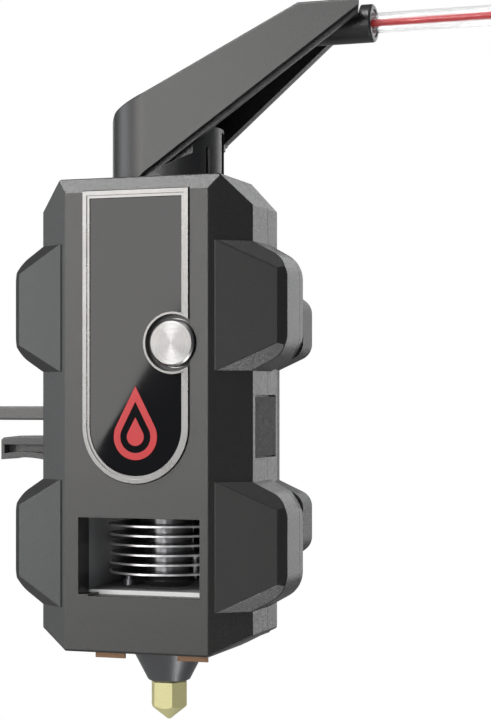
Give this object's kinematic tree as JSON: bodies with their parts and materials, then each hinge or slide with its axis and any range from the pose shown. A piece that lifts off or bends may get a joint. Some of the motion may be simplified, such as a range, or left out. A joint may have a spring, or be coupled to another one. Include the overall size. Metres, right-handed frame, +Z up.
{
  "type": "hotend assembly",
  "caption": "Docking 3D-printer toolhead: direct-drive extruder and finned hot end in a two-shell housing, with a button, idler release lever and swivelling filament guide arm.",
  "frame": {"origin": "middle of the docking face, on the centre plane and midway between the upper and lower pair of ears", "axes": "+Z up along the filament path (nozzle points down), +Y out of the docking face towards the carriage, +X to the right seen from the front"},
  "size_m": [0.16, 0.048, 0.1765],
  "materials": {
    "shell_plastic": "fine spark-eroded texture",
    "inset_plastic": "fine texture",
    "dock_plastic": "fine texture",
    "arm_plastic": "satin texture",
    "dark_plastic": "satin",
    "bar_plastic": "satin",
    "chrome_trim": "polished",
    "glass_black": "gloss",
    "emblem_red": "gloss",
    "spun_aluminium": "circular brushed",
    "circuit_board": "solder mask",
    "component_black": "moulded",
    "steel": "ground",
    "screw_steel": "zinc plated",
    "motor_black": "satin paint",
    "wheel_plastic": "moulded",
    "brass": "machined",
    "gold_contacts": "plated",
    "sink_aluminium": "turned",
    "stainless": "turned",
    "ptfe": "smooth",
    "insulator_white": "fibre board",
    "shroud_grey": "satin",
    "copper_shield": "sheet",
    "clear_tube": "clear",
    "fitting_plastic": "moulded",
    "collet_plastic": "moulded",
    "filament_red": "extruded"
  },
  "bodies": {
    "housing": {"air_duct": "dark_plastic", "bezel": "chrome_trim", "board_chips": "component_black", "chassis_plate": "steel", "collar_screw": "screw_steel", "contact_block": "dark_plastic", "contact_pads": "gold_contacts", "control_board": "circuit_board", "dock_magnets": "steel", "dock_plate": "dock_plastic", "emblem": "emblem_red", "encoder_axle": "steel", "fan_frame": "component_black", "fan_screws": "screw_steel", "feed_filament": "filament_red", "filament_guide": "dark_plastic", "front_panel": "glass_black", "front_shell": "shell_plastic", "grip_bar": "bar_plastic", "heat_break": "stainless", "heat_shield": "copper_shield", "heat_sink": "sink_aluminium", "heater_block": "sink_aluminium", "heater_cartridge": "steel", "idler_spring": "steel", "insulator_board": "insulator_white", "motor_body": "motor_black", "motor_screws": "screw_steel", "nozzle": "brass", "nozzle_shroud": "shroud_grey", "pivot_pin": "steel", "plate_screws": "screw_steel", "rear_housing": "dock_plastic", "rear_shell": "shell_plastic", "shell_screws": "screw_steel", "side_panel_left": "inset_plastic", "side_panel_right": "inset_plastic", "swivel_bush": "wheel_plastic", "swivel_housing": "dock_plastic", "tact_switch": "component_black", "thermistor": "steel", "throat_liner": "ptfe"},
    "button": {"button_cap": "spun_aluminium"},
    "drive": {"motor_shaft": "steel", "drive_gear": "brass"},
    "idler_lever": {"idler_arm": "steel", "release_tab": "dark_plastic", "idler_pin": "steel"},
    "idler_roller": {"idler_bearing": "steel"},
    "encoder": {"encoder_wheel": "wheel_plastic"},
    "fan": {"fan_rotor": "component_black"},
    "guide_arm": {"arm_tower": "dark_plastic", "arm_hood": "arm_plastic", "arm_liner": "dark_plastic", "tube_socket": "dark_plastic", "tube_collet": "collet_plastic", "retaining_clip": "steel", "guide_tube": "clear_tube", "tube_filament": "filament_red", "tube_fitting": "fitting_plastic"}
  },
  "joints": [
    {"name": "button_press", "type": "slide", "parent": "housing", "child": "button", "axis": [0, 1, 0], "range_m": [0, 0.0006], "stiffness_N_per_m": 900, "springref_m": -0.0005},
    {"name": "drive_spin", "type": "hinge", "parent": "housing", "child": "drive", "pos_m": [-0.0063, -0.0062, 0.014], "axis": [0, 1, 0], "continuous": true},
    {"name": "idler_release", "type": "hinge", "parent": "housing", "child": "idler_lever", "pos_m": [0.008, -0.0062, -0.006], "axis": [0, 1, 0], "range_deg": [0, 4], "stiffness_Nm_per_rad": 0.3, "springref_deg": -9.74},
    {"name": "idler_spin", "type": "hinge", "parent": "idler_lever", "child": "idler_roller", "pos_m": [0.0059, -0.0062, 0.014], "axis": [0, 1, 0], "continuous": true},
    {"name": "encoder_spin", "type": "hinge", "parent": "housing", "child": "encoder", "pos_m": [-0.0049, -0.0062, 0.038], "axis": [0, 1, 0], "continuous": true},
    {"name": "fan_spin", "type": "hinge", "parent": "housing", "child": "fan", "pos_m": [0, 0.012, -0.025], "axis": [0, 1, 0], "continuous": true},
    {"name": "arm_swivel", "type": "hinge", "parent": "housing", "child": "guide_arm", "pos_m": [0, -0.0062, 0.06], "axis": [0, 0, 1], "range_deg": [-75, 75]}
  ],
  "couplings": [
    {"joint": "idler_spin", "follows": "drive_spin", "ratio": -1.08},
    {"joint": "encoder_spin", "follows": "drive_spin", "ratio": 1.35}
  ]
}
